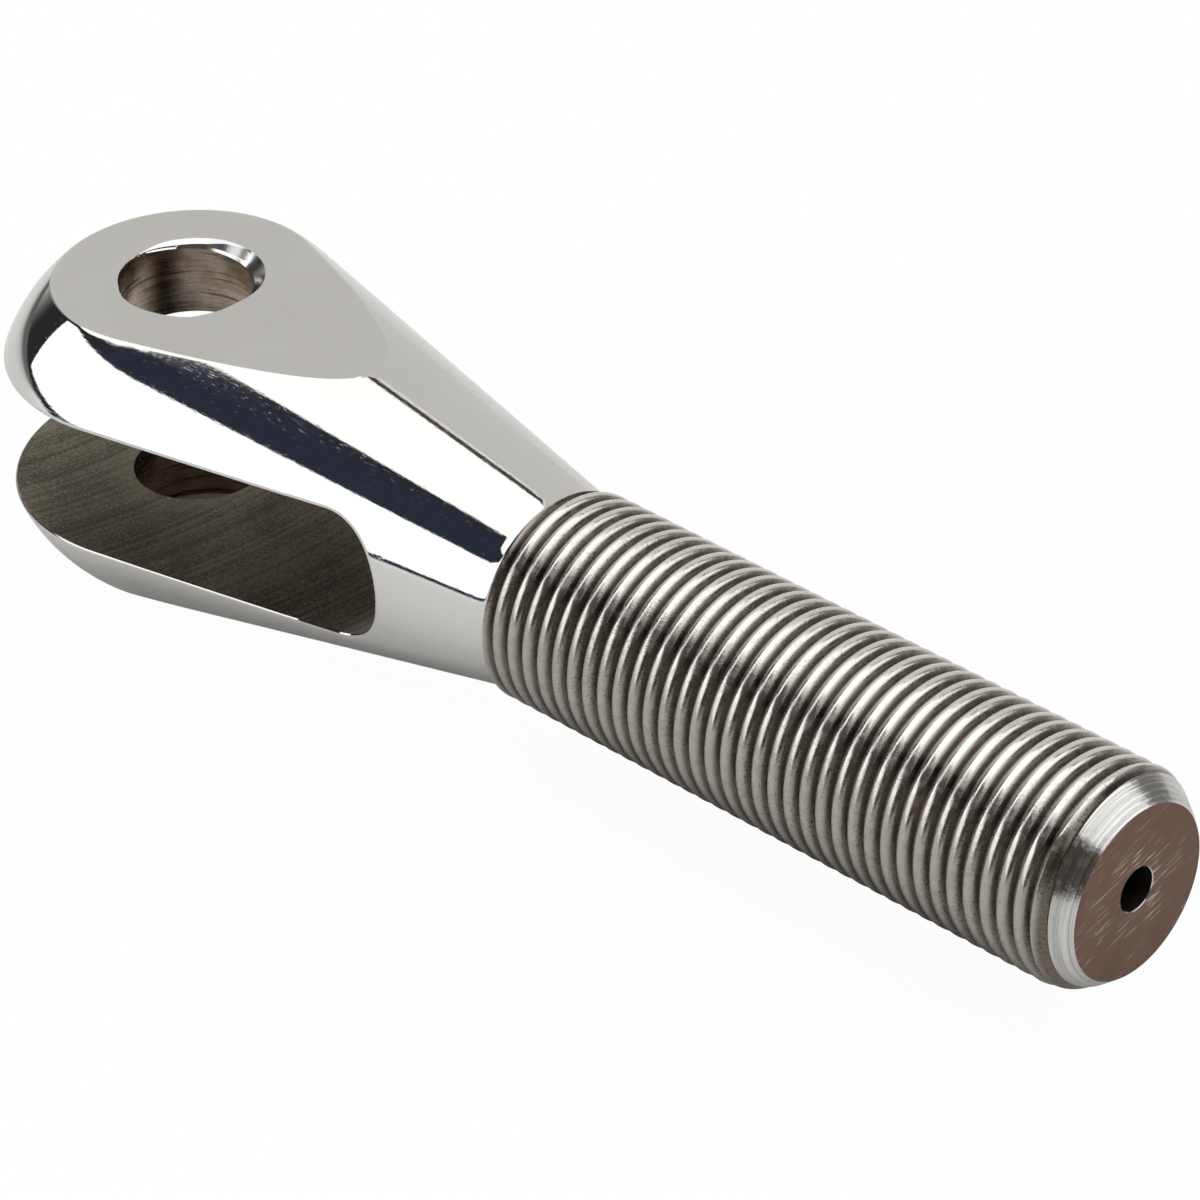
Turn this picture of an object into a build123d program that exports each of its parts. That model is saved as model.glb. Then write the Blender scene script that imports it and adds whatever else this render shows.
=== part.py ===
from build123d import *
import math
import os

# A clevis rod end, turned, milled and drilled from one bar of stainless steel: a
# ball-shaped fork head, a tapered neck and a round shank for a 5/8 inch fine thread.
# X runs along the shank to its threaded end and Z along the clevis pin. The origin
# is where the two axes cross, in the middle of the fork. Sizes are in millimetres.

# Fork head
head_diameter = 29.0
width_across_ears = 21.6
slot_width = 10.1
slot_root_past_ball = 13.5
ear_edge_radius = 0.5
slot_edge_break = 0.45

# Hole for the clevis pin, broken at its two mouths
pin_diameter = 9.525
pin_clearance = 0.2
pin_hole_break = 0.55

# Neck, between the end of the head's cone and the shank
neck_diameter = 14.7
neck_x = 36.7
neck_length = 0.4

# Shank, as wide as the crests of its thread: the fine turns are left off the solid
thread_diameter = 15.75
thread_rise_angle = 45
shank_end_x = 88.6
end_chamfer_length = 2.25
end_face_diameter = 12.45

# Centre hole, left in the end of the shank by the lathe
centre_hole_diameter = 3.175
centre_hole_depth = 6.0
drill_point_angle = 118

head_radius = head_diameter / 2
slot_root_x = head_radius + slot_root_past_ball
neck_radius = neck_diameter / 2
thread_radius = thread_diameter / 2
pin_hole_radius = (pin_diameter + pin_clearance) / 2

# The head's cone leaves the ball at a tangent and ends on the edge of the neck.
neck_edge_angle = math.atan2(neck_radius, neck_x)
neck_edge_distance = math.hypot(neck_x, neck_radius)
tangent_angle = math.degrees(
    neck_edge_angle + math.acos(head_radius / neck_edge_distance)
)

# Behind the neck the outline rises to the thread's crests at this slope.
neck_end_x = neck_x + neck_length
thread_rise = (thread_radius - neck_radius) / math.tan(math.radians(thread_rise_angle))
chamfer_x = shank_end_x - end_chamfer_length

# The drill leaves a cone at the bottom of the centre hole.
centre_hole_radius = centre_hole_diameter / 2
drill_point_length = centre_hole_radius / math.tan(math.radians(drill_point_angle / 2))
centre_hole_floor_x = shank_end_x - centre_hole_depth

with BuildPart() as clevis_rod_end:
    # The turned blank is half of its own outline, swung about the shank's axis.
    with BuildSketch(Plane.XY):
        with BuildLine():
            ball = CenterArc((0, 0), head_radius, tangent_angle, 180 - tangent_angle)
            Polyline(
                ball @ 0,
                (neck_x, neck_radius),
                (neck_end_x, neck_radius),
                (neck_end_x + thread_rise, thread_radius),
                (chamfer_x, thread_radius),
                (shank_end_x, end_face_diameter / 2),
                (shank_end_x, centre_hole_radius),
                (centre_hole_floor_x, centre_hole_radius),
                (centre_hole_floor_x - drill_point_length, 0),
                ball @ 1,
            )
        make_face()
    revolve(axis=Axis.X)

    # Two flats are milled across the ball and the cone, above and below.
    split(bisect_by=Plane.XY.offset(width_across_ears / 2), keep=Keep.BOTTOM)
    split(bisect_by=Plane.XY.offset(-width_across_ears / 2), keep=Keep.TOP)

    # The slot between the ears opens past the ball and has a full round root.
    slot_root_centre_x = slot_root_x - slot_width / 2
    with BuildSketch(Plane.XZ):
        SlotCenterPoint((-head_diameter, 0), (slot_root_centre_x, 0), slot_width)
    extrude(amount=head_diameter, both=True, mode=Mode.SUBTRACT)

    # Polishing rounded the edges of both flats and broke those of the slot, all round.
    flats = clevis_rod_end.faces().filter_by(Axis.Z).sort_by(Axis.Z)
    fillet(flats.first.edges() + flats.last.edges(), ear_edge_radius)
    slot_edges = clevis_rod_end.edges().filter_by_position(
        Axis.Z, -slot_width / 2, slot_width / 2
    )
    slot_edges = slot_edges.filter_by_position(Axis.X, -head_radius, slot_root_x)
    chamfer(slot_edges.filter_by(Axis.Y, reverse=True), slot_edge_break)

    # One drill goes through both ears, and its two mouths are broken.
    Hole(pin_hole_radius)
    flats = clevis_rod_end.faces().filter_by(Axis.Z).sort_by(Axis.Z)
    hole_mouths = flats.first.inner_wires() + flats.last.inner_wires()
    chamfer(hole_mouths.edges(), pin_hole_break)

clevis_rod_end.part.label = "clevis_rod_end"
os.makedirs("parts", exist_ok=True)
export_step(clevis_rod_end.part, "parts/clevis_rod_end.step")
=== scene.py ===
import math

import bpy
from mathutils import Matrix, Vector


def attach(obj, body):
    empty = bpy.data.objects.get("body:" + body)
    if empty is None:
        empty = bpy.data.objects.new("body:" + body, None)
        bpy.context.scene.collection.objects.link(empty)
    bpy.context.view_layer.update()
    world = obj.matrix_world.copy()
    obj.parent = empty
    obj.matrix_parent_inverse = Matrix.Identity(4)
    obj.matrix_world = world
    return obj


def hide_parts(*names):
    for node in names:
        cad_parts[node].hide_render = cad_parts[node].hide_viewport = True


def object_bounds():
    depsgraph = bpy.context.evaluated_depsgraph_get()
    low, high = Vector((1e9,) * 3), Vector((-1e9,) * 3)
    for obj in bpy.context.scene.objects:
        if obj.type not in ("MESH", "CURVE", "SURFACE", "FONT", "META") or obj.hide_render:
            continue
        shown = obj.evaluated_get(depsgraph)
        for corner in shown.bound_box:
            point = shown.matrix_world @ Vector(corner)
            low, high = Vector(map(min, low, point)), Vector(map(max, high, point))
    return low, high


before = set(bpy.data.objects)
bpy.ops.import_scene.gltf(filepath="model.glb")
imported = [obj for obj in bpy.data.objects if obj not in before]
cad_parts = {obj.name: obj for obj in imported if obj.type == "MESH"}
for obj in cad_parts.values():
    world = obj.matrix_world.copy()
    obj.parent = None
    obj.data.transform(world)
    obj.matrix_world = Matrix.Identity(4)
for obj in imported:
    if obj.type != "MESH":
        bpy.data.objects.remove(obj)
cad_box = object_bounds()


# The blank is one bar of stainless steel, turned to a ball with a cone behind it, a
# short neck, a round shank and a chamfered end. Two flats are milled across the ball
# and a slot is cut from its tip, and polishing rounds every edge that they leave.
ball_radius = 0.0145
neck_x = 0.0367
neck_radius = 0.00735
neck_end_x = neck_x + 0.00016
shank_radius = 0.007875
shank_end_x = 0.0886
chamfer_x = shank_end_x - 0.00225
end_face_radius = 0.006225
flat_height = 0.0108
slot_half_width = 0.00505
slot_root_x = 0.028
flat_edge_radius = 0.0005
slot_edge_break = 0.00036

neck_edge_angle = math.atan2(neck_radius, neck_x)
neck_edge_distance = math.hypot(neck_x, neck_radius)
tangent_angle = neck_edge_angle + math.acos(ball_radius / neck_edge_distance)
tangent_x = ball_radius * math.cos(tangent_angle)
tangent_radius = ball_radius * math.sin(tangent_angle)
cone_slope = (neck_radius - tangent_radius) / (neck_x - tangent_x)
flat_tip_x = tangent_x + (flat_height - tangent_radius) / cone_slope
slot_centre_x = slot_root_x - slot_half_width


def outline_radius(x):
    if x < tangent_x:
        return math.sqrt(max(ball_radius**2 - x**2, 0.0))
    into_neck = max(0.0, x - 2 * neck_x + neck_end_x)
    levelled = into_neck**2 / (4 * (neck_end_x - neck_x))
    return tangent_radius + cone_slope * (x - tangent_x - levelled)


def outline_normal(x, y, z):
    if x < tangent_x:
        return Vector((x, y, z)).normalized()
    radius = math.hypot(y, z)
    return Vector((-cone_slope * radius, y, z)).normalized()


def on_blank(x, z):
    """The near side of the ball or cone, at this place along it and height."""
    return Vector((x, -math.sqrt(max(outline_radius(x) ** 2 - z**2, 0.0)), z))


def rounded_edge(on_one, corner, on_other, steps):
    """Points from one face to the other over the edge between them."""
    points = []
    for step in range(steps + 1):
        t = step / steps
        towards = on_one * (1 - t) ** 2 + corner * 2 * t * (1 - t)
        points.append(towards + on_other * t**2)
    return points


def wrapped_grid(columns):
    """A flat grid with each of its crossings carried to its place on the part."""
    bpy.ops.object.select_all(action="DESELECT")
    across, along = len(columns[0]), len(columns)
    bpy.ops.mesh.primitive_grid_add(x_subdivisions=across - 1, y_subdivisions=along - 1)
    grid = bpy.context.object
    for index, vertex in enumerate(grid.data.vertices):
        vertex.co = columns[index // across][index % across]
    return grid


def joined(pieces):
    bpy.ops.object.select_all(action="DESELECT")
    for piece in pieces:
        piece.select_set(True)
    bpy.context.view_layer.objects.active = pieces[0]
    bpy.ops.object.join()
    return bpy.context.object


def edit_whole(piece):
    bpy.ops.object.select_all(action="DESELECT")
    bpy.context.view_layer.objects.active = piece
    piece.select_set(True)
    bpy.ops.object.mode_set(mode="EDIT")
    bpy.ops.mesh.select_mode(type="VERT")
    bpy.ops.mesh.select_all(action="SELECT")


def leave_edit():
    bpy.ops.mesh.select_all(action="DESELECT")
    bpy.ops.object.mode_set(mode="OBJECT")


# Each column of the side runs from the slot's wall, over its broken edge, up the side
# and over the edge of the flat. Columns go from the ball's tip to the slot's root.
side_rows = 14
edge_steps = 4
flat_steps = 3


def round_axis(x, radius, angle):
    return Vector((x, -radius * math.cos(angle), radius * math.sin(angle)))


def side_points(x_low, z_low, x_high, z_high):
    """Places up the side between two points, measured round the blank's axis."""
    low = math.asin(min(1.0, z_low / outline_radius(x_low)))
    high = math.asin(min(1.0, z_high / outline_radius(x_high)))
    points = []
    for row in range(1, side_rows):
        t = row / side_rows
        x = x_low + (x_high - x_low) * t
        points.append(round_axis(x, outline_radius(x), low + (high - low) * t))
    return points


def ball_point(share, height):
    """A place on the ball, by its share of the way from the tip to the cone."""
    radius = math.sqrt(ball_radius**2 - height**2)
    last = math.acos(tangent_x / radius)
    heading = math.pi + (last - math.pi) * share
    return Vector((radius * math.cos(heading), -radius * math.sin(heading), height))


columns = []
ball_columns = 44
wall_lean = math.asin(slot_half_width / ball_radius)
flat_lean = math.acos(flat_height / ball_radius)
for column in range(ball_columns):
    share = column / ball_columns
    edge = ball_point(share, slot_half_width)
    inward = Vector((-edge.x, -edge.y, 0)).normalized()
    wall = edge + inward * slot_edge_break
    break_z = slot_half_width + slot_edge_break * math.cos(wall_lean)
    low = ball_point(share, break_z)
    corner = ball_point(share, flat_height)
    flat_inward = Vector((-corner.x, -corner.y, 0)).normalized()
    reach = flat_edge_radius * math.tan(flat_lean / 2)
    flat_point = corner + flat_inward * reach
    under_z = flat_height - reach * math.sin(flat_lean)
    under = ball_point(share, under_z)
    points = rounded_edge(wall, edge, low, edge_steps)
    first = math.asin(break_z / ball_radius)
    last = math.asin(under_z / ball_radius)
    for row in range(1, side_rows):
        height = ball_radius * math.sin(first + (last - first) * row / side_rows)
        points.append(ball_point(share, height))
    points += rounded_edge(under, corner, flat_point, flat_steps)
    columns.append(points)

# The rounding of the flat's edge thins out over the last columns before the flat's tip.
cone_columns = 26
thinning_columns = 8
for column in range(cone_columns + 1):
    x = tangent_x + (flat_tip_x - tangent_x) * column / cone_columns
    edge = on_blank(x, slot_half_width)
    wall = edge + Vector((0, slot_edge_break, 0))
    normal = outline_normal(*edge)
    break_z = slot_half_width + slot_edge_break * math.hypot(normal.x, normal.y)
    low = on_blank(x, break_z)
    corner = on_blank(x, flat_height)
    points = rounded_edge(wall, edge, low, edge_steps)
    if column < cone_columns:
        normal = outline_normal(*corner)
        lean = math.acos(normal.z)
        fade = min(1.0, (cone_columns - column) / thinning_columns)
        reach = flat_edge_radius * math.tan(lean / 2) * fade
        flat_inward = Vector((-normal.x, -normal.y, 0)).normalized()
        flat_point = corner + flat_inward * reach
        flat_point.y = min(flat_point.y, 0.0)
        under_z = flat_height - reach * math.sin(lean)
        under = on_blank(x, under_z)
    else:
        flat_point, under, under_z = corner, corner, flat_height
    points += side_points(x, break_z, x, under_z)
    points += rounded_edge(under, corner, flat_point, flat_steps)
    columns.append(points)


def crown_points(x, share):
    """The last rows, which close over the top of the cone behind the flat's tip."""
    points = []
    for step in range(flat_steps + 1):
        angle = math.pi / 2 - share * (flat_steps - step) / flat_steps
        points.append(round_axis(x, outline_radius(x), angle))
    return points


crown_share = math.radians(14)
saddle_columns = 6
for column in range(1, saddle_columns + 1):
    t = column / saddle_columns
    x = flat_tip_x + (slot_centre_x - flat_tip_x) * t
    edge = on_blank(x, slot_half_width)
    wall = edge + Vector((0, slot_edge_break, 0))
    break_z = slot_half_width + slot_edge_break
    low = on_blank(x, break_z)
    crown = crown_points(x, crown_share * t)
    points = rounded_edge(wall, edge, low, edge_steps)
    points += side_points(x, break_z, x, crown[0].z)
    points += crown
    columns.append(points)

# Round the slot's root the columns fan out, first to the top of the cone and then to
# the edge of the neck, where they are even.
fan_columns = 12
neck_columns = 24
all_rows = side_rows + flat_steps
for column in range(1, fan_columns + neck_columns + 1):
    turn = math.pi / 2 * column / (fan_columns + neck_columns)
    edge_x = slot_centre_x + slot_half_width * math.sin(turn)
    edge = on_blank(edge_x, slot_half_width * math.cos(turn))
    wall = edge + Vector((0, slot_edge_break, 0))
    out = slot_half_width + slot_edge_break
    low = on_blank(slot_centre_x + out * math.sin(turn), out * math.cos(turn))
    if column <= fan_columns:
        far_x = slot_centre_x + (neck_x - slot_centre_x) * column / fan_columns
        far_angle = math.pi / 2
    else:
        far_x = neck_x
        far_angle = math.pi / 2 * (1 - (column - fan_columns) / neck_columns)
    low_angle = math.asin(low.z / outline_radius(low.x))
    points = rounded_edge(wall, edge, low, edge_steps)
    for row in range(1, all_rows + 1):
        t = row / all_rows
        x = low.x + (far_x - low.x) * t
        angle = low_angle + (far_angle - low_angle) * t
        points.append(round_axis(x, outline_radius(x), angle))
    columns.append(points)

# What lies on a mirror plane lies on it exactly.
for points in columns:
    for point in points:
        if abs(point.y) < 1e-8:
            point.y = 0.0
        if abs(point.z) < 1e-8:
            point.z = 0.0
side = wrapped_grid(columns)

# The slot's root is drawn straight through the fork, from the wall's line of points.
root_first = ball_columns + cone_columns + saddle_columns
root_line = [points[0] for points in columns[root_first:]]
root = wrapped_grid([[wall, Vector((wall.x, 0, wall.z))] for wall in root_line])

# Behind the cone the same columns go on along the neck and shank to the end face, past
# a chamfer that bulges a little. The shank is left wider than the thread's crests.
shank_spare = 0.000025
bulge_along = 0.00014
bulge_out = 0.00019
blank_radius = shank_radius + shank_spare
chamfer_slope = (shank_radius - end_face_radius) / (shank_end_x - chamfer_x)
rise = blank_radius - neck_radius
neck_middle_x = neck_x + (neck_end_x - neck_x) / 2
chamfer_outline = []
for t in (0.2, 0.4, 0.6, 0.8, 0.985):
    x = chamfer_x + (shank_end_x - chamfer_x) * t
    radius = shank_radius + (end_face_radius - shank_radius) * t
    bulge = t * (1 - t)
    chamfer_outline.append((x + bulge_along * bulge, radius + bulge_out * bulge))
shank_outline = [
    (neck_x, outline_radius(neck_x)),
    (neck_middle_x, outline_radius(neck_middle_x)),
    (neck_end_x, neck_radius),
    (neck_end_x + rise * 0.25, neck_radius + rise * 0.10),
    (neck_end_x + rise * 0.75, neck_radius + rise * 0.60),
    (neck_end_x + rise, blank_radius),
    (chamfer_x - (blank_radius - shank_radius) / chamfer_slope, blank_radius),
    *chamfer_outline,
    (shank_end_x, end_face_radius),
    (shank_end_x, end_face_radius / 2),
    (shank_end_x, 0.0),
]
shank_columns = []
for column in range(neck_columns + 1):
    angle = math.pi / 2 * (1 - column / neck_columns)
    shank_columns.append([round_axis(x, radius, angle) for x, radius in shank_outline])
shank = wrapped_grid(shank_columns)

body = joined([side, root, shank])
body.name = "clevis_rod_end_steel"
mirror = body.modifiers.new("mirror", "MIRROR")
mirror.use_axis = (False, True, True)
mirror.use_mirror_merge = True
mirror.merge_threshold = 1e-6
bpy.ops.object.modifier_apply(modifier="mirror")

edit_whole(body)
bpy.ops.mesh.remove_doubles(threshold=2e-6)
leave_edit()


def fill_level(height):
    """Close the open loop of edges that lies at this height."""
    mesh = body.data
    used = {}
    for polygon in mesh.polygons:
        for key in polygon.edge_keys:
            used[key] = used.get(key, 0) + 1
    for edge in mesh.edges:
        ends = [mesh.vertices[index].co for index in edge.vertices]
        level = all(abs(end.z - height) < 1e-6 for end in ends)
        edge.select = level and used.get(edge.key, 0) == 1
    bpy.ops.object.mode_set(mode="EDIT")
    bpy.ops.mesh.select_mode(type="EDGE")
    bpy.ops.mesh.edge_face_add()
    leave_edit()


for height in (flat_height, slot_half_width, -slot_half_width, -flat_height):
    fill_level(height)
edit_whole(body)
bpy.ops.mesh.normals_make_consistent(inside=False)
leave_edit()


# The thread is a right-hand 5/8 inch fine thread, 18 turns to the inch, with rounded
# crests and a rounded root. It is drawn as one turn's outline, swept along the shank,
# and what is left of the blank inside it is the finished thread.
pitch = 0.0254 / 18
crest_radius = 0.00052
root_radius = 0.00007
flank_angle = math.radians(60)
crest_steps = 4
root_steps = 2
turn_steps = 96
turns = 39
thread_start_x = 0.03619
thread_start_angle = math.radians(-78)

flank_run = pitch / 2 - (crest_radius + root_radius) * math.sin(flank_angle)
half_turn = []
for step in range(crest_steps + 1):
    bend = flank_angle * step / crest_steps
    drop = crest_radius * (1 - math.cos(bend))
    half_turn.append((crest_radius * math.sin(bend), -drop))
flank_drop = flank_run * math.tan(flank_angle)
root_depth = half_turn[-1][1] - flank_drop - root_radius * (1 - math.cos(flank_angle))
for step in range(root_steps, -1, -1):
    bend = flank_angle * step / root_steps
    half_turn.append(
        (
            pitch / 2 - root_radius * math.sin(bend),
            root_depth + root_radius * (1 - math.cos(bend)),
        )
    )
one_turn = half_turn + [(pitch - run, depth) for run, depth in reversed(half_turn[:-1])]


def drawn_line(points):
    """One point, extruded from place to place."""
    bpy.ops.object.select_all(action="DESELECT")
    bpy.ops.mesh.primitive_plane_add(size=0.001, location=(0, 0, 0))
    line = bpy.context.object
    bpy.ops.object.mode_set(mode="EDIT")
    bpy.ops.mesh.select_mode(type="VERT")
    bpy.ops.mesh.select_all(action="SELECT")
    bpy.ops.mesh.merge(type="CENTER")
    bpy.ops.transform.translate(value=points[0])
    for start, end in zip(points, points[1:]):
        step = Vector(end) - Vector(start)
        bpy.ops.mesh.extrude_vertices_move(TRANSFORM_OT_translate={"value": step})
    bpy.ops.object.mode_set(mode="OBJECT")
    return line


def spun(outline, axis, steps):
    """A closed turned shape, swung from its outline about an axis."""
    piece = drawn_line(outline)
    edit_whole(piece)
    bpy.ops.mesh.spin(steps=steps, angle=2 * math.pi, center=(0, 0, 0), axis=axis)
    bpy.ops.mesh.select_all(action="SELECT")
    bpy.ops.mesh.remove_doubles(threshold=1e-6)
    bpy.ops.mesh.normals_make_consistent(inside=False)
    leave_edit()
    return piece


def cut(piece, tool, operation):
    bpy.context.view_layer.objects.active = piece
    boolean = piece.modifiers.new("cut", "BOOLEAN")
    boolean.operation = operation
    boolean.solver = "MANIFOLD"
    boolean.object = tool
    bpy.ops.object.modifier_apply(modifier="cut")
    bpy.data.objects.remove(tool)


thread = drawn_line(
    [
        (
            thread_start_x + run,
            (shank_radius + depth) * math.cos(thread_start_angle),
            (shank_radius + depth) * math.sin(thread_start_angle),
        )
        for run, depth in one_turn
    ]
)
sweep = thread.modifiers.new("sweep", "SCREW")
sweep.axis = "X"
sweep.screw_offset = pitch
sweep.iterations = turns
sweep.steps = turn_steps
sweep.render_steps = turn_steps
bpy.ops.object.modifier_apply(modifier="sweep")
edit_whole(thread)
bpy.ops.mesh.remove_doubles(threshold=1e-6)
leave_edit()

# The tool starts on the neck and takes half a turn to reach its depth. At the other
# end its last turn rides down the chamfer and runs out in a shallow groove.
tiny = 0.00001
run_in = 0.55
shallow_radius = neck_radius + tiny
last_turn = 35
run_out = 0.0009
run_out_depth = 0.35
run_out_turn = 0.25
crest_spare = 0.0002


def turned_by(place):
    """The share of a turn from the thread's start to this place."""
    angle = math.atan2(place[2], place[1]) - thread_start_angle
    return angle / (2 * math.pi) % 1.0


def last_groove_x(place):
    return thread_start_x + (turned_by(place) + last_turn + 0.5) * pitch


def eased(share):
    share = min(1.0, max(0.0, share))
    return share * share * (3 - 2 * share)


for vertex in thread.data.vertices:
    place = vertex.co
    turned = turned_by(place)
    along = (place.x - thread_start_x) / pitch
    swept = turned + math.floor(along - turned + 1e-4)
    radius = math.hypot(place.y, place.z)
    wanted = radius
    if swept < run_in and radius < shallow_radius:
        wanted = shallow_radius + (radius - shallow_radius) * eased(swept / run_in)
    if place.x > last_groove_x(place) + tiny:
        wanted = shank_radius + crest_spare
    elif place.x > chamfer_x:
        down_chamfer = place.x - chamfer_x
        last_depth = run_out_depth * eased((1 - turned) / run_out_turn)
        depth = 1 + (last_depth - 1) * eased(down_chamfer / run_out)
        fall = chamfer_slope * down_chamfer
        wanted = radius * depth + shank_radius * (1 - depth) - fall - tiny
    vertex.co = (place.x, place.y * wanted / radius, place.z * wanted / radius)


def open_rim(piece, at_head):
    """Select the open edges at one end of the tool."""
    bpy.ops.mesh.select_all(action="DESELECT")
    bpy.ops.mesh.select_mode(type="EDGE")
    bpy.ops.mesh.select_non_manifold()
    bpy.ops.object.mode_set(mode="OBJECT")
    for vertex in piece.data.vertices:
        vertex.select = vertex.select and (vertex.co.x < tool_middle_x) == at_head
    for edge in piece.data.edges:
        edge.select = all(piece.data.vertices[index].select for index in edge.vertices)
    bpy.ops.object.mode_set(mode="EDIT")


def drawn_out(piece, x, radius):
    """Extrude the rim that is selected to a plain ring."""
    bpy.ops.mesh.extrude_region_move()
    bpy.ops.object.mode_set(mode="OBJECT")
    for vertex in piece.data.vertices:
        if vertex.select:
            width = math.hypot(vertex.co.y, vertex.co.z)
            scale = radius / width
            vertex.co = (x, vertex.co.y * scale, vertex.co.z * scale)
    bpy.ops.object.mode_set(mode="EDIT")


def closed_off():
    """Draw the rim that is selected together to a point."""
    bpy.ops.mesh.extrude_region_move()
    bpy.ops.mesh.merge(type="CENTER")


# The tool goes on past both ends of the shank, and round the whole head, so that what
# is common to it and the blank is the threaded part.
tool_middle_x = 0.06
tool_end_x = 0.094
around_head = 0.03
collar_step = 0.00004
collar_radius = shank_radius + 0.0001
edit_whole(thread)
open_rim(thread, True)
drawn_out(thread, thread_start_x - collar_step, collar_radius)
drawn_out(thread, thread_start_x - collar_step * 2, around_head)
drawn_out(thread, -around_head, around_head)
closed_off()
open_rim(thread, False)
drawn_out(thread, tool_end_x, shank_radius)
closed_off()
bpy.ops.mesh.select_all(action="SELECT")
bpy.ops.mesh.remove_doubles(threshold=1e-6)
bpy.ops.mesh.normals_make_consistent(inside=False)
leave_edit()
cut(body, thread, "INTERSECT")


# The pin's hole is drilled straight through both ears, and its lower mouth is broken.
# The upper mouth was broken by hand and buffed: on the side away from the tip it has a
# low slope from the flat and a steep one under it, and to the right it is one cone.
pin_hole_radius = 0.0048625
mouth_break = 0.00055
lip_depth = 0.0009
lip_bands = 3
lip_ring_turns = (0, 0.06, 0.94, 1, 1.06, 1.94, 2, 2.06, 3)
tool_height = 0.013
tool_run = tool_height - flat_height
hole_steps = 120

# Heading in degrees, then the lip's width, and width and depth at its two inner corners
# and at the bore, in hundredths of a millimetre.
lip_stations = (
    (-176, 4, 2, 5, 3, 3, 14),
    (-122, 4, 2, 5, 3, 3, 14),
    (-107, 26, 10, 12, 18, 5, 30),
    (-90, 33, 10, 20, 20, 10, 40),
    (-66, 47, 15, 25, 30, 15, 45),
    (-40, 84, 28, 40, 56, 20, 60),
    (-24, 70, 23, 40, 46, 20, 60),
    (0, 55, 18, 45, 36, 25, 66),
    (30, 82, 27, 50, 54, 25, 76),
    (62, 84, 28, 54, 56, 27, 80),
    (78, 80, 27, 58, 57, 24, 88),
    (84, 79, 12, 62, 73, 4, 88),
    (92, 78, 12, 57, 69, 6, 84),
    (106, 78, 12, 48, 54, 11, 72),
    (120, 72, 8, 37, 24, 21, 52),
    (138, 60, 5, 36, 13, 21, 48),
    (144, 57, 7, 35, 11, 21, 44),
    (150, 54, 9, 31, 11, 20, 42),
    (160, 40, 9, 24, 11, 14, 35),
    (168, 26, 8, 16, 9, 9, 26),
    (176, 10, 4, 8, 5, 4, 13),
)


def lip_at(heading):
    """Width and depth of each of the lip's corners, from the bore out to the flat."""
    stations = lip_stations + ((lip_stations[0][0] + 360, *lip_stations[0][1:]),)
    heading = (heading - stations[0][0]) % 360 + stations[0][0]
    for before, after in zip(stations, stations[1:]):
        if heading <= after[0]:
            break
    t = (heading - before[0]) / (after[0] - before[0])
    width, low, low_depth, high, high_depth, depth = (
        (one + (other - one) * t) * 0.00001 for one, other in zip(before[1:], after[1:])
    )
    return [(0.0, depth), (low, low_depth), (high, high_depth), (width, 0.0)]


pin_cutter = spun(
    [
        (0, 0, -tool_height),
        (pin_hole_radius + mouth_break + tool_run, 0, -tool_height),
        (pin_hole_radius, 0, -flat_height + mouth_break),
        *[
            (pin_hole_radius, 0, flat_height - lip_depth + lip_depth * ring / lip_bands)
            for ring in lip_ring_turns
        ],
        (pin_hole_radius, 0, tool_height),
        (0, 0, tool_height),
    ],
    (0, 0, 1),
    hole_steps,
)
for vertex in pin_cutter.data.vertices:
    x, y, z = vertex.co
    if z < flat_height - lip_depth - 1e-6 or math.hypot(x, y) < pin_hole_radius / 2:
        continue
    corners = lip_at(math.degrees(math.atan2(y, x)))
    ring = min(lip_bands, (z - flat_height + lip_depth) / lip_depth * lip_bands + 1e-6)
    band = min(lip_bands - 1, int(ring))
    (inner_width, inner_depth), (outer_width, outer_depth) = corners[band : band + 2]
    width = inner_width + (outer_width - inner_width) * (ring - band)
    depth = inner_depth + (outer_depth - inner_depth) * (ring - band)
    scale = (pin_hole_radius + width) / pin_hole_radius
    if z < flat_height + 1e-6:
        z = flat_height - depth
    vertex.co = (x * scale, y * scale, z)
cut(body, pin_cutter, "DIFFERENCE")


# The lathe's centre drill left a hole in the end of the shank. It is a little off the
# thread's axis, and its mouth is hardly broken.
centre_hole_radius = 0.0015875
centre_hole_depth = 0.006
centre_hole_break = 0.00006
centre_hole_steps = 48
off_axis = (0, -0.00005, 0.00025)
past_end = 0.002
drill_point = centre_hole_radius / math.tan(math.radians(59))
centre_cutter = spun(
    [
        (shank_end_x + past_end, 0, 0),
        (shank_end_x + past_end, centre_hole_radius + past_end + centre_hole_break, 0),
        (shank_end_x - centre_hole_break, centre_hole_radius, 0),
        (shank_end_x - centre_hole_depth, centre_hole_radius, 0),
        (shank_end_x - centre_hole_depth - drill_point, 0, 0),
    ],
    (1, 0, 0),
    centre_hole_steps,
)
edit_whole(centre_cutter)
bpy.ops.transform.translate(value=off_axis)
leave_edit()
cut(body, centre_cutter, "DIFFERENCE")


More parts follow.
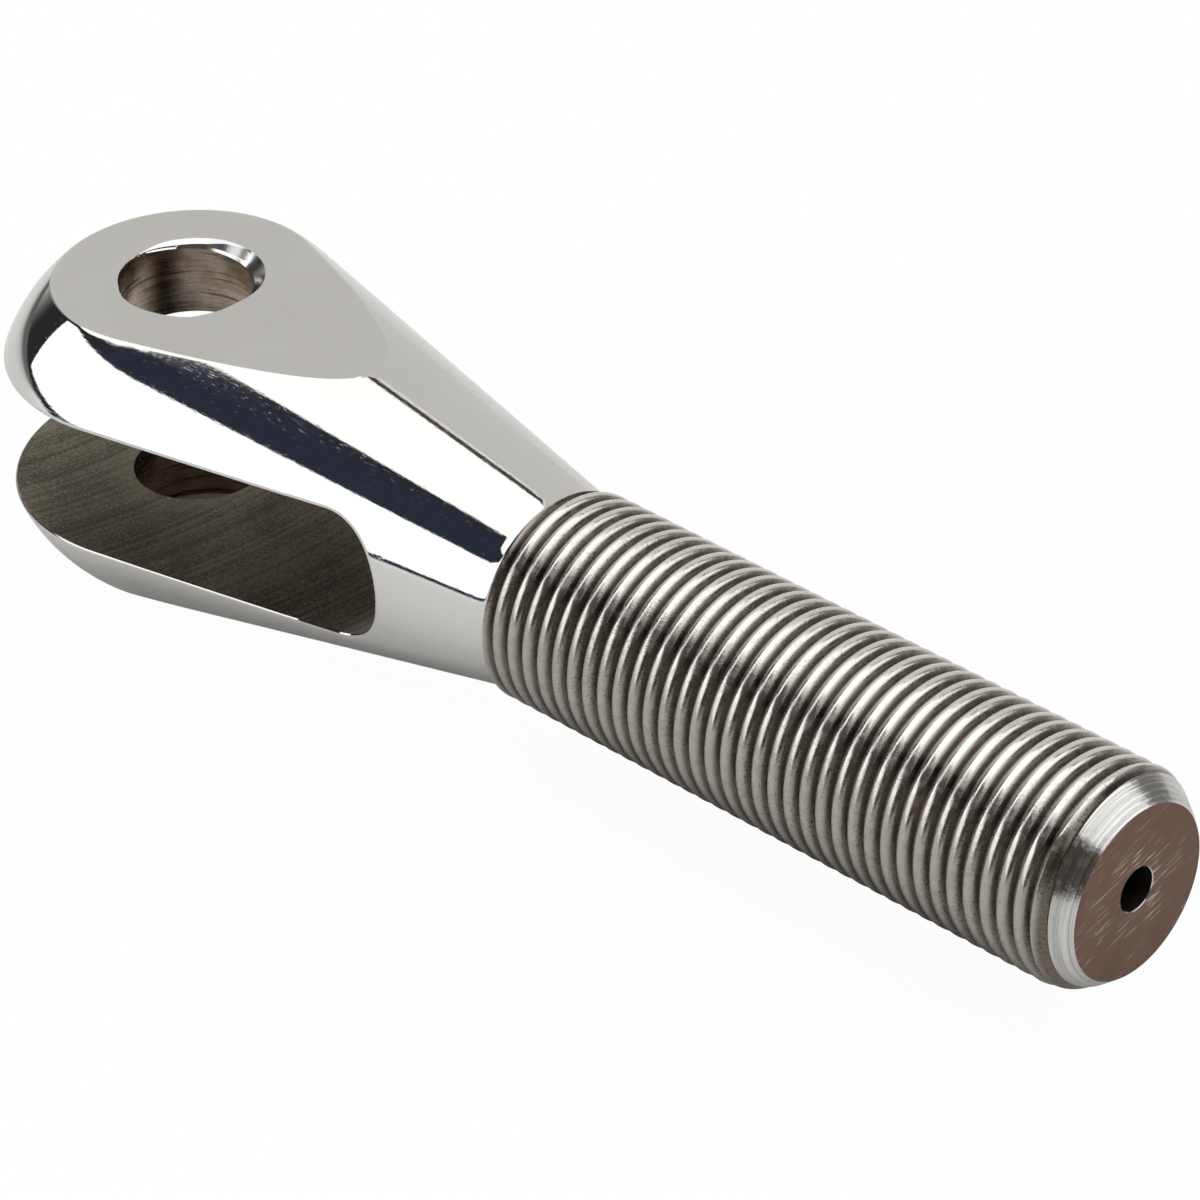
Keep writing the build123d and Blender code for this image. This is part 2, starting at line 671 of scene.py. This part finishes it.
# The part is bare stainless steel all over. Its finishes differ by what worked it last:
# a buffing wheel outside, a grinding wheel on the flats, a cutter in the slot, a drill
# in the holes, a die on the shank and a saw across its end.
class Link:
    """A value in a material, on which Python's arithmetic adds Math nodes."""

    def __init__(self, tree, socket=None):
        self.tree = tree
        self.socket = socket

    def node(self, kind, inputs=None, output=0, **settings):
        node = self.tree.nodes.new("ShaderNode" + kind)
        for name, setting in settings.items():
            setattr(node, name, setting)
        for key, value in (inputs or {}).items():
            if isinstance(value, Link):
                self.tree.links.new(value.socket, node.inputs[key])
            elif node.inputs[key].type == "RGBA" and len(value) == 3:
                node.inputs[key].default_value = (*value, 1.0)
            else:
                node.inputs[key].default_value = value
        return Link(self.tree, node.outputs[output])

    def maths(self, operation, *values):
        return self.node("Math", dict(enumerate(values)), operation=operation)

    def __add__(self, other):
        return self.maths("ADD", self, other)

    def __sub__(self, other):
        return self.maths("SUBTRACT", self, other)

    def __rsub__(self, other):
        return self.maths("SUBTRACT", other, self)

    def __mul__(self, other):
        return self.maths("MULTIPLY", self, other)

    def __truediv__(self, other):
        return self.maths("DIVIDE", self, other)

    __radd__ = __add__
    __rmul__ = __mul__


def finish(name):
    material = bpy.data.materials.new(name)
    material.use_nodes = True
    tree = material.node_tree
    shader = tree.nodes["Principled BSDF"]
    shader.inputs["Metallic"].default_value = 1.0
    place = Link(tree).node("TexCoord", output="Object")
    return material, shader, place


def noise(place, scale, detail, roughness=0.5):
    inputs = {"Vector": place, "Scale": scale, "Detail": detail, "Roughness": roughness}
    return place.node("TexNoise", inputs)


def stretched_noise(place, scale, detail):
    spread = place.node("Mapping", {"Vector": place, "Scale": scale})
    return noise(spread, 1.0, detail, 0.6)


def bumped(shader, height, distance):
    bump = height.node("Bump", {"Height": height, "Distance": distance})
    height.tree.links.new(bump.socket, shader.inputs["Normal"])


def feed(shader, **links):
    for name, value in links.items():
        shader.id_data.links.new(value.socket, shader.inputs[name.replace("_", " ")])


def blend(factor, dark, light):
    inputs = {0: factor, 6: dark, 7: light}
    return factor.node("Mix", inputs, output=2, data_type="RGBA")


def faded(value, start, end):
    """Nought at the start, one at the end and a soft step between them."""
    inputs = {0: value, 1: start, 2: end}
    return value.node("MapRange", inputs, interpolation_type="SMOOTHSTEP")


def along(place, axis):
    return place.node("SeparateXYZ", {0: place}, output=axis)


def distance(place, counted):
    """How far a place is from the origin, by the axes that are counted."""
    flat_on = place.node("VectorMath", {0: place, 1: counted}, operation="MULTIPLY")
    return place.node("VectorMath", {0: flat_on}, output="Value", operation="LENGTH")


# Buffed along the part with a fine brush, over the marks that the lathe left round it.
polished, shader, place = finish("polished_steel")
brush = stretched_noise(place, (160, 11000, 11000), 1.5)
lathe = stretched_noise(place, (6000, 160, 160), 3.0)
cloud = noise(place, 130, 3.0)
scratch = faded(stretched_noise(place, (300, 9000, 9000), 2.0), 0.58, 0.78)
feed(
    shader,
    Base_Color=blend(cloud, (0.66, 0.65, 0.635), (0.71, 0.70, 0.69)),
    Roughness=0.028 + cloud * 0.014 + scratch * 0.16,
)
bumped(shader, brush + lathe * 0.02, 0.0000012)

# Ground flat and lightly buffed, so that it is even and satin.
satin, shader, place = finish("satin_flat")
cloud = noise(place, 160, 4.0)
brush = stretched_noise(place, (4200, 500, 500), 3.0)
feed(
    shader,
    Base_Color=blend(cloud, (0.61, 0.60, 0.59), (0.68, 0.67, 0.655)),
    Roughness=0.13 + cloud * 0.07 + brush * 0.04,
)
bumped(shader, brush, 0.000003)

# The slot cutter's teeth left arcs about a millimetre apart, and the slot is dark brown.
milled, shader, place = finish("milled_slot")
cutter_centre = (-0.038, 0, 0)
from_cutter = place.node(
    "VectorMath", {0: place, 1: cutter_centre}, operation="SUBTRACT"
)
reach = distance(from_cutter, (1, 1, 0))
arcs = reach.node("CombineXYZ", {0: reach, 2: along(from_cutter, "Z") * 0.2})
marks = noise(arcs, 2600, 1.5)
fine = noise(place, 5200, 3.0, 0.65)
tone = noise(place, 170, 2.0)
# Lighter round the pin's hole, and lighter towards the open tip, which is painted light.
round_hole = 1 - faded(distance(place, (1, 1, 0)), 0.0050, 0.0074)
at_tip = 1 - faded(along(from_cutter, "X"), 0.0235, 0.0290)
lighter_at_tip_and_hole = round_hole * 0.07 + at_tip * 0.06
mark = faded(marks * 0.27 + fine * 0.52 + tone * 0.21 + lighter_at_tip_and_hole, 0.39, 0.63)
# Painted glints: bright specks, more of them at the tip and round the hole.
glint = faded(fine + lighter_at_tip_and_hole * 0.4, 0.68, 0.72)
metal = blend(mark, (0.060, 0.052, 0.038), (0.215, 0.190, 0.142))
feed(
    shader,
    Base_Color=blend(glint, metal, (0.45, 0.43, 0.38)),
    Roughness=0.36 + fine * 0.2,
)
bumped(shader, marks * 0.35 + fine, 0.000024)

# The drill's wall is brown and streaked round the hole, with a few deep scores.
drilled, shader, place = finish("drilled_hole")
streak = stretched_noise(place, (260, 260, 3600), 4.0)
score = faded(stretched_noise(place, (150, 150, 2600), 1.0), 0.60, 0.68)
cloud = noise(place, 420, 4.0)
feed(
    shader,
    Base_Color=blend(
        faded(streak * 0.35 + cloud * 0.65 - score * 0.25, 0.28, 0.66),
        (0.17, 0.125, 0.09),
        (0.48, 0.405, 0.335),
    ),
    Roughness=0.20 + streak * 0.16,
)
bumped(shader, streak - score * 0.5, 0.000012)

# The thread is bright on its crests and darker and browner towards its roots, partly from
# oily grit and partly from shade painted into the grooves. Its underside is darker still,
# which is painted shade.
threaded, shader, place = finish("threaded_shank")
# Towards the roots the colour darkens: partly oily grit, partly painted shade in the
# grooves.
depth = faded(distance(place, (0, 1, 1)), 0.00750, 0.00788)
# Painted shade: the colour darkens towards the thread's underside.
shaded_underside = 1 - faded(along(place, "Z"), 0.0030, 0.0070)
grain = noise(place, 6500, 3.0, 0.7)
cloud = noise(place, 190, 4.0)
tint = noise(place, 1300, 3.0)
grit = faded(grain, 0.54, 0.64) * faded(cloud, 0.40, 0.60) * (1 - depth * 0.7)
# Crest colour darkening into the roots, with oily grit and painted shade.
oil_and_shade = blend(depth * 0.85 + tint * 0.15, (0.15, 0.125, 0.10), (0.80, 0.78, 0.74))
# Painted shade on the underside.
oil_and_shade = blend(shaded_underside * (0.34 + tint * 0.36), oil_and_shade, (0.15, 0.125, 0.105))
feed(
    shader,
    Base_Color=blend(grit, oil_and_shade, (0.045, 0.038, 0.033)),
    Roughness=0.17 + grit * 0.35 + faded(tint, 0.4, 0.7) * 0.16,
)
bumped(shader, grain * faded(cloud, 0.35, 0.60) + tint * 0.5, 0.000014)

# The end chamfer shows the lathe tool's fine rings.
turned, shader, place = finish("turned_chamfer")
rings = stretched_noise(place, (9000, 90, 90), 3.0)
cloud = noise(place, 2600, 4.0)
feed(
    shader,
    Base_Color=blend(faded(rings, 0.35, 0.65), (0.45, 0.44, 0.425), (0.70, 0.69, 0.67)),
    Roughness=0.11 + rings * 0.08 + faded(cloud, 0.45, 0.7) * 0.12,
)
bumped(shader, rings + cloud * 0.5, 0.000022)

# The bar was sawn off, and its end keeps the saw's slanting scratches. Its brown is partly
# a painted reflection of something brown and partly an oxide tint.
sawn, shader, place = finish("sawn_end")
saw_slant = math.radians(-14)
along_saw = place.node("Mapping", {"Vector": place, "Rotation": (saw_slant, 0, 0)})
scratch = stretched_noise(along_saw, (500, 420, 5200), 4.0)
deep = faded(stretched_noise(along_saw, (700, 430, 4600), 3.0), 0.54, 0.69)
cloud = noise(place, 300, 3.0)
near_hole = 1 - faded(distance(place, (0, 1, 1)), 0.0024, 0.0046)
# Painted reflection: the end's brown stands partly for something brown that it reflects,
# over an oxide tint.
brown = blend(scratch * 0.5 + cloud * 0.5, (0.105, 0.052, 0.034), (0.27, 0.175, 0.135))
bright = deep * (faded(cloud, 0.45, 0.58) * 0.55 + near_hole * 0.6)
feed(
    shader,
    Base_Color=blend(bright, brown, (0.60, 0.53, 0.46)),
    Roughness=0.42 + scratch * 0.12,
)
bumped(shader, scratch + deep, 0.00001)

# The wall of the centre hole is dull and dark.
bored, shader, place = finish("centre_hole")
tone = noise(place, 900, 2.0)
feed(
    shader,
    Base_Color=blend(tone, (0.05, 0.045, 0.04), (0.13, 0.12, 0.11)),
    Roughness=0.35 + tone * 0.2,
)

# A face's finish follows from where it is and which way it faces. The lip of the upper
# mouth is satin, as the flat is, between two headings.
lip_reach = 0.006
lip_satin_from = -30
lip_satin_to = 121
centre_hole_room = 0.0003
wall_room = 0.000004
margin = 0.0001


def finish_of(polygon):
    x, y, z = polygon.center
    normal = polygon.normal
    from_pin = math.hypot(x, y)
    from_axis = math.hypot(y, z)
    heading = math.degrees(math.atan2(y, x))
    faces_up_or_down = abs(normal.z) > 0.999
    stands_upright = abs(normal.z) < 0.3
    runs_across = abs(normal.y) < 0.02
    if x > shank_end_x - tiny:
        return sawn
    in_end = x > chamfer_x - centre_hole_depth
    if in_end and from_axis < centre_hole_radius + centre_hole_room:
        return bored if x < shank_end_x - centre_hole_break else turned
    if from_pin < pin_hole_radius + wall_room and stands_upright:
        return drilled
    if faces_up_or_down and abs(abs(z) - flat_height) < tiny:
        return satin
    at_wall = abs(abs(z) - slot_half_width) < tiny
    in_slot = x < slot_root_x + margin and abs(z) < slot_half_width + tiny
    if in_slot and runs_across and (at_wall or x > slot_centre_x - margin):
        return milled
    into_slot = Vector((min(0.0, slot_centre_x - x), 0, -z))
    faces_slot = normal.dot(into_slot.normalized()) > 0.9
    if faces_slot and math.hypot(*into_slot) < slot_half_width + slot_edge_break:
        return milled
    on_lip = z > flat_height - lip_depth and from_pin < lip_reach
    if on_lip and lip_satin_from < heading < lip_satin_to:
        return satin
    if x > chamfer_x and x > last_groove_x(polygon.center) - 2 * tiny:
        return turned
    if x > neck_end_x + margin:
        return threaded
    return polished


finishes = [polished, satin, milled, drilled, threaded, turned, sawn, bored]
body.data.materials.clear()
for material in finishes:
    body.data.materials.append(material)
for polygon in body.data.polygons:
    polygon.material_index = finishes.index(finish_of(polygon))

edit_whole(body)
bpy.ops.mesh.remove_doubles(threshold=5e-7)
bpy.ops.mesh.delete_loose()
leave_edit()
bpy.ops.object.select_all(action="DESELECT")
body.select_set(True)
bpy.context.view_layer.objects.active = body
bpy.ops.object.shade_smooth_by_angle(angle=math.radians(30))


def on_upper_mouth(place):
    from_pin = math.hypot(place.x, place.y)
    return abs(place.z - flat_height) < 1e-6 and from_pin < lip_reach


for edge in body.data.edges:
    if all(on_upper_mouth(body.data.vertices[index].co) for index in edge.vertices):
        edge.use_edge_sharp = True
weigh = body.modifiers.new("weigh", "WEIGHTED_NORMAL")
weigh.keep_sharp = True
weigh.weight = 80
bpy.ops.object.modifier_apply(modifier="weigh")


# Buffing leaves no line where ball, cone and neck meet, so the polished faces take
# their normals from an outline whose lean is eased there.
ease_width = 0.003
most_turned = math.radians(9)
beside_axis = 0.002


def buffed_normal(place):
    x = place.x
    cone_lean = -math.atan(cone_slope)
    ball_lean = math.asin(max(-1.0, min(1.0, x / ball_radius)))
    if x < tangent_x - ease_width:
        lean = ball_lean
    elif x < tangent_x + ease_width:
        to_go = tangent_x + ease_width - x
        turn_rate = 1 / (ball_radius * math.cos(cone_lean))
        lean = cone_lean - turn_rate * to_go**2 / (4 * ease_width)
    else:
        into_neck = (x - 2 * neck_x + neck_end_x) / (2 * (neck_end_x - neck_x))
        lean = cone_lean * (1 - min(1.0, max(0.0, into_neck)))
    radius = math.hypot(place.y, place.z)
    across = math.cos(lean) / radius
    return Vector((math.sin(lean), place.y * across, place.z * across))


mesh = body.data
normals = [corner.vector.copy() for corner in mesh.corner_normals]
buffed = finishes.index(polished)
for polygon in mesh.polygons:
    if polygon.material_index != buffed:
        continue
    for corner in polygon.loop_indices:
        place = mesh.vertices[mesh.loops[corner].vertex_index].co
        radius = math.hypot(place.y, place.z)
        if place.x > neck_end_x + 1e-6 or radius < beside_axis:
            continue
        if abs(radius - outline_radius(place.x)) > 1e-6:
            continue
        wanted = buffed_normal(place)
        if normals[corner].angle(wanted) < most_turned:
            normals[corner] = wanted
mesh.normals_split_custom_set(normals)
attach(body, "root")
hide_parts("clevis_rod_end")


# A pale studio floor, which the lower ear rests on. The camera sees it glow as a lightbox
# does. The steel reflects it as paper, into whose colour shade is painted: a painted
# shadow in the pin's hole, which the camera sees too, one under the shank, and painted
# shade far to the left.
floor_height = cad_box[0][2] - tiny
bpy.ops.object.select_all(action="DESELECT")
bpy.ops.mesh.primitive_plane_add(size=6.0, location=(0, 0, floor_height))
floor = bpy.context.object
floor.name = "studio_floor"
paper = bpy.data.materials.new("pale_paper")
paper.use_nodes = True
tree = paper.node_tree
paper_shader = tree.nodes["Principled BSDF"]
paper_shader.inputs["Roughness"].default_value = 0.9
seen = Link(tree).node("LightPath", output="Is Camera Ray")
on_floor = seen.node("TexCoord", output="Object")
# A shadow is painted round the pin's axis, where the lower ear rests; there the camera
# sees the painted shadow and not the glow.
outside_hole_shadow = faded(distance(on_floor, (1, 1, 0)), 0.0065, 0.0085)
beside = on_floor.maths("ABSOLUTE", along(on_floor, "Y"))
lengthwise = along(on_floor, "X")
# Painted shade: the paper darkens far to the left.
far_left_shade = faded(0 - lengthwise - beside * 1.2, 0.07, 0.25)
sheet = blend(far_left_shade, (0.84, 0.84, 0.83), (0.10, 0.10, 0.10))
# A shadow painted under the shank.
shank_shadow = faded(lengthwise, 0.034, 0.042) * (1 - faded(lengthwise, 0.078, 0.088))
shank_shadow = shank_shadow * (1 - faded(beside, 0.003, 0.012))
sheet = blend(shank_shadow, sheet, (0.32, 0.31, 0.29))
white = seen.node("Emission", {"Color": (1, 1, 1, 1), "Strength": 1.0})
# The paper's colour, with the painted shadow in the pin's hole.
tree.links.new(
    blend(outside_hole_shadow, (0.45, 0.41, 0.36), sheet).socket,
    paper_shader.inputs["Base Color"],
)
mixed = seen.node("MixShader", {0: seen * outside_hole_shadow * 0.97, 2: white})
tree.links.new(paper_shader.outputs[0], mixed.socket.node.inputs[1])
tree.links.new(mixed.socket, tree.nodes["Material Output"].inputs["Surface"])
floor.data.materials.append(paper)


# Studio light: a softbox to the left of the camera, a panel overhead that reaches over
# to the right, and a grey sweep behind. The softbox's edges are given by the directions
# in which they stand.
softbox_distance = 0.9
softbox_azimuth = math.radians(-115)
softbox_low = softbox_distance * math.tan(math.radians(2.9))
softbox_high = softbox_distance * math.tan(math.radians(38))
softbox_left = -softbox_distance * math.tan(math.radians(44))
softbox_right = softbox_distance * math.tan(math.radians(35))
softbox_radiance = 1.7

away = Vector((math.cos(softbox_azimuth), math.sin(softbox_azimuth), 0))
sideways = Vector((-math.sin(softbox_azimuth), math.cos(softbox_azimuth), 0))
middle = away * softbox_distance + sideways * (softbox_left + softbox_right) / 2
middle.z = (softbox_low + softbox_high) / 2
light = bpy.data.lights.new("left_softbox", "AREA")
light.shape = "RECTANGLE"
light.size = softbox_right - softbox_left
light.size_y = softbox_high - softbox_low
light.energy = softbox_radiance * light.size * light.size_y * math.pi
softbox = bpy.data.objects.new("left_softbox", light)
bpy.context.scene.collection.objects.link(softbox)
softbox.location = middle
softbox.rotation_euler = (-away).to_track_quat("-Z", "Y").to_euler()
softbox.visible_camera = False

scene = bpy.context.scene
world = bpy.data.worlds.new("studio")
scene.world = world
world.use_nodes = True
tree = world.node_tree
background = tree.nodes["Background"]
way = Link(tree).node("TexCoord", output="Generated")
seen = way.node("LightPath", output="Is Camera Ray")
x, y, z = (along(way, axis) for axis in "XYZ")
azimuth = way.maths("ARCTAN2", y, x) * (180 / math.pi)
elevation = way.maths("ARCSINE", z) * (180 / math.pi)
wrapped = azimuth + 360 * (1 - faded(azimuth, -61, -60))

# A dim brown room, with black cloth round the softbox and behind the fork.
room = (0.085, 0.075, 0.065)
cloth = blend(faded(wrapped, 215, 250), (0.030, 0.029, 0.031), (0.030, 0.036, 0.060))
cloth_width = faded(wrapped, 150, 156) * (1 - faded(wrapped, 256, 262))
colour = blend(cloth_width * (1 - faded(elevation, 62, 66)), room, cloth)

# The warm grey sweep stands behind the part, with a bright upper edge.
beside_sweep = faded(wrapped, 40, 50) * (1 - faded(wrapped, 88, 94))
colour = blend(beside_sweep, colour, (0.25, 0.245, 0.235))
sweep_width = faded(wrapped, 88, 94) * (1 - faded(wrapped, 158, 186))
sweep_edge = faded(elevation, 48.7, 49.5) * 0.35
warm_grey = blend(sweep_edge, (0.72, 0.71, 0.675), (1.6, 1.6, 1.55))
colour = blend(sweep_width * (1 - faded(elevation, 50.9, 51.2)), colour, warm_grey)

# The panel overhead reaches over to the right, and its near edge slants on the left.
height_over = way.maths("MAXIMUM", z, 0.001)
over_x = x / height_over
over_y = y / height_over
notch = faded(0 - over_x, 0.343, 0.417) * 0.28 + faded(0 - over_x, 0.38, 0.60) * 0.11
overhead = (
    faded(over_y + notch, -0.395, -0.385)
    * (1 - faded(over_y - 1.6 * way.maths("MAXIMUM", over_x, 0.0), 0.56, 0.575))
    * faded(over_x, -1.0, -0.93)
    * (1 - faded(over_x, 1.2, 1.4))
    * faded(z, 0.05, 0.10)
)
colour = blend(overhead, colour, (1.5, 1.5, 1.5))

# A small card stands to the right, beyond the thread's end.
card = (
    faded(azimuth, -9, -6)
    * (1 - faded(azimuth, 20, 26))
    * faded(elevation, 3, 5)
    * (1 - faded(elevation, 32, 35))
)
colour = blend(card, colour, (1.2, 1.2, 1.18))
colour = blend(seen, colour, (1.0, 1.0, 1.0))
tree.links.new(colour.socket, background.inputs["Color"])


# The camera stands to the right of the thread's end, looking back along the part.
camera_data = bpy.data.cameras.new("camera")
camera_data.sensor_width = 36
camera_data.lens = 174.165
camera = bpy.data.objects.new("camera", camera_data)
scene.collection.objects.link(camera)
camera_azimuth = math.radians(45.15)
camera_elevation = math.radians(33.62)
camera_roll = math.radians(-1.82)
forward = Vector(
    (
        -math.sin(camera_azimuth) * math.cos(camera_elevation),
        math.cos(camera_azimuth) * math.cos(camera_elevation),
        -math.sin(camera_elevation),
    )
)
camera.location = (0.2753, -0.2331, 0.22095)
look = forward.to_track_quat("-Z", "Y").to_matrix().to_4x4()
camera.matrix_world = (
    Matrix.Translation(camera.location) @ look @ Matrix.Rotation(camera_roll, 4, "Z")
)
scene.camera = camera

scene.view_settings.view_transform = "Standard"
